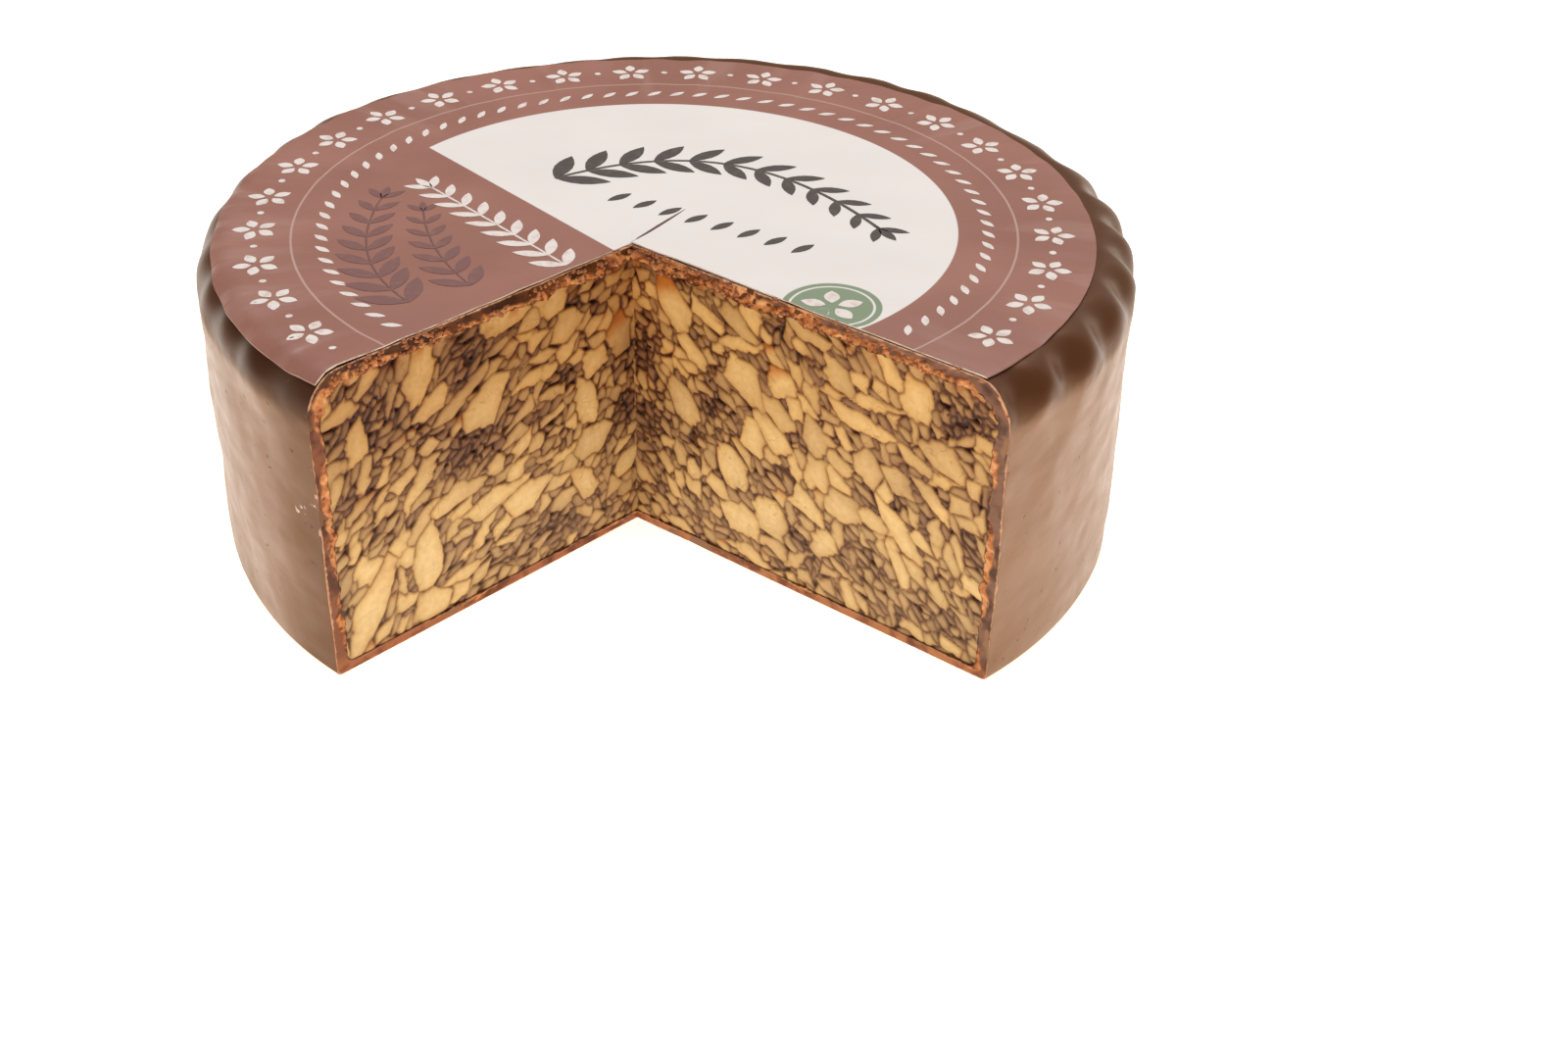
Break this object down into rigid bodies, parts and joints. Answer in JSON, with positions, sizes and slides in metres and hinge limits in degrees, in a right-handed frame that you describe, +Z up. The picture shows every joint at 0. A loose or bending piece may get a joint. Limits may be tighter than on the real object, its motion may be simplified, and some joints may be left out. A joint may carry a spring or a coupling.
{
  "type": "waxed cheddar wheel with a wedge cut out",
  "caption": "Low round cheese in a brown wax coat with a round top label, and a wedge cut out that shows a dark-veined mosaic of pale curds.",
  "frame": {"origin": "bottom centre of the object's box, on the surface that the wheel stands on; the wheel's own axis is 11 mm in front of it, towards -Y", "axes": "+Z up through the wheel, +X to the right and +Y to the back as the cut-out wedge is faced, so the cut opens towards -Y"},
  "size_m": [0.2002, 0.1776, 0.0686],
  "materials": {
    "cheese": "moist satin cut cheese, pale yellow curds in dark brown veins",
    "wax": "semi-gloss brown cheese wax",
    "label": "satin printed film, dusky rose with a cream field"
  },
  "bodies": {
    "root": {"cheese": "cheese", "wax_coat": "wax", "label": "label"}
  },
  "joints": []
}
